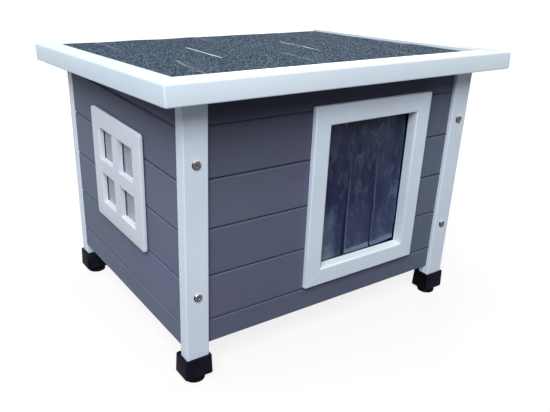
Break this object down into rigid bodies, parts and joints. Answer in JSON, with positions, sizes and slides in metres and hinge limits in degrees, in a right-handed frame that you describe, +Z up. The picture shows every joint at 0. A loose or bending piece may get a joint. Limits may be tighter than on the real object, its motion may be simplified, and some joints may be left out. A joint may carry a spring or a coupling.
{
  "type": "outdoor cat house",
  "caption": "Outdoor cat house: a painted board cabin on levelling feet, with a framed doorway behind clear strips, a side window with bars and a felted lift-up roof",
  "frame": {"origin": "on the ground, under the middle of the roof seen from above", "axes": "+X to the right along the front, +Y from the front to the back, +Z up"},
  "size_m": [0.57, 0.4459, 0.4189],
  "materials": {
    "white_paint": "white paint, satin",
    "grey_paint": "blue-grey paint, satin",
    "bare_wood": "planed, unpainted",
    "roofing_felt": "mineral granules",
    "black_plastic": "satin",
    "steel": "zinc plated",
    "clear_sheet": "clear, glossy"
  },
  "bodies": {
    "cabin": {"post_front_left": "white_paint", "post_front_right": "white_paint", "post_back_left": "white_paint", "post_back_right": "white_paint", "foot_cap_front_left": "black_plastic", "foot_cap_front_right": "black_plastic", "foot_cap_back_left": "black_plastic", "foot_cap_back_right": "black_plastic", "front_board_1": "grey_paint", "front_board_2": "grey_paint", "front_board_3_left": "grey_paint", "front_board_3_right": "grey_paint", "front_board_4_left": "grey_paint", "front_board_4_right": "grey_paint", "front_board_5": "grey_paint", "front_board_6": "grey_paint", "left_board_1": "grey_paint", "left_board_2": "grey_paint", "left_board_3": "grey_paint", "left_board_4_back": "grey_paint", "left_board_4_front": "grey_paint", "left_board_5": "grey_paint", "left_board_6": "grey_paint", "right_boards": "grey_paint", "back_boards": "grey_paint", "corner_cleats": "bare_wood", "floor_bearers": "bare_wood", "floor_panel": "bare_wood", "door_frame_head": "white_paint", "door_frame_sill": "white_paint", "door_frame_left": "white_paint", "door_frame_right": "white_paint", "curtain_rail": "bare_wood", "curtain_clamp": "bare_wood", "window_frame_head": "white_paint", "window_frame_sill": "white_paint", "window_frame_back": "white_paint", "window_frame_front": "white_paint", "muntin_upright": "white_paint", "muntin_cross": "white_paint", "window_pane": "clear_sheet", "hinge_rail": "white_paint", "hinge_wall_leaves": "steel", "hinge_pins": "steel", "hinge_wall_screws": "steel", "post_screws": "steel"},
    "roof": {"roof_deck": "bare_wood", "roof_felt": "roofing_felt", "roof_trim_front": "white_paint", "roof_trim_left": "white_paint", "roof_trim_right": "white_paint", "hinge_roof_leaves": "steel", "hinge_roof_screws": "steel"},
    "strip_left": {"curtain_strip_left": "clear_sheet"},
    "strip_middle": {"curtain_strip_middle": "clear_sheet"},
    "strip_right": {"curtain_strip_right": "clear_sheet"},
    "foot_front_left": {"levelling_foot_front_left": "black_plastic"},
    "foot_front_right": {"levelling_foot_front_right": "black_plastic"},
    "foot_back_left": {"levelling_foot_back_left": "black_plastic"},
    "foot_back_right": {"levelling_foot_back_right": "black_plastic"}
  },
  "joints": [
    {"name": "roof_hinge", "type": "hinge", "parent": "cabin", "child": "roof", "pos_m": [0, 0.2061, 0.37322], "axis": [-1, 0, 0], "range_deg": [0, 95]},
    {"name": "strip_left_swing", "type": "hinge", "parent": "cabin", "child": "strip_left", "pos_m": [-0.00157, -0.166, 0.3345], "axis": [1, 0, 0], "range_deg": [-60, 80]},
    {"name": "strip_middle_swing", "type": "hinge", "parent": "cabin", "child": "strip_middle", "pos_m": [0.0525, -0.166, 0.3345], "axis": [1, 0, 0], "range_deg": [-60, 80]},
    {"name": "strip_right_swing", "type": "hinge", "parent": "cabin", "child": "strip_right", "pos_m": [0.10657, -0.166, 0.3345], "axis": [1, 0, 0], "range_deg": [-60, 80]},
    {"name": "foot_front_left_level", "type": "slide", "parent": "cabin", "child": "foot_front_left", "axis": [0, 0, -1], "range_m": [-0.004, 0.012]},
    {"name": "foot_front_right_level", "type": "slide", "parent": "cabin", "child": "foot_front_right", "axis": [0, 0, -1], "range_m": [-0.004, 0.012]},
    {"name": "foot_back_left_level", "type": "slide", "parent": "cabin", "child": "foot_back_left", "axis": [0, 0, -1], "range_m": [-0.004, 0.012]},
    {"name": "foot_back_right_level", "type": "slide", "parent": "cabin", "child": "foot_back_right", "axis": [0, 0, -1], "range_m": [-0.004, 0.012]}
  ]
}
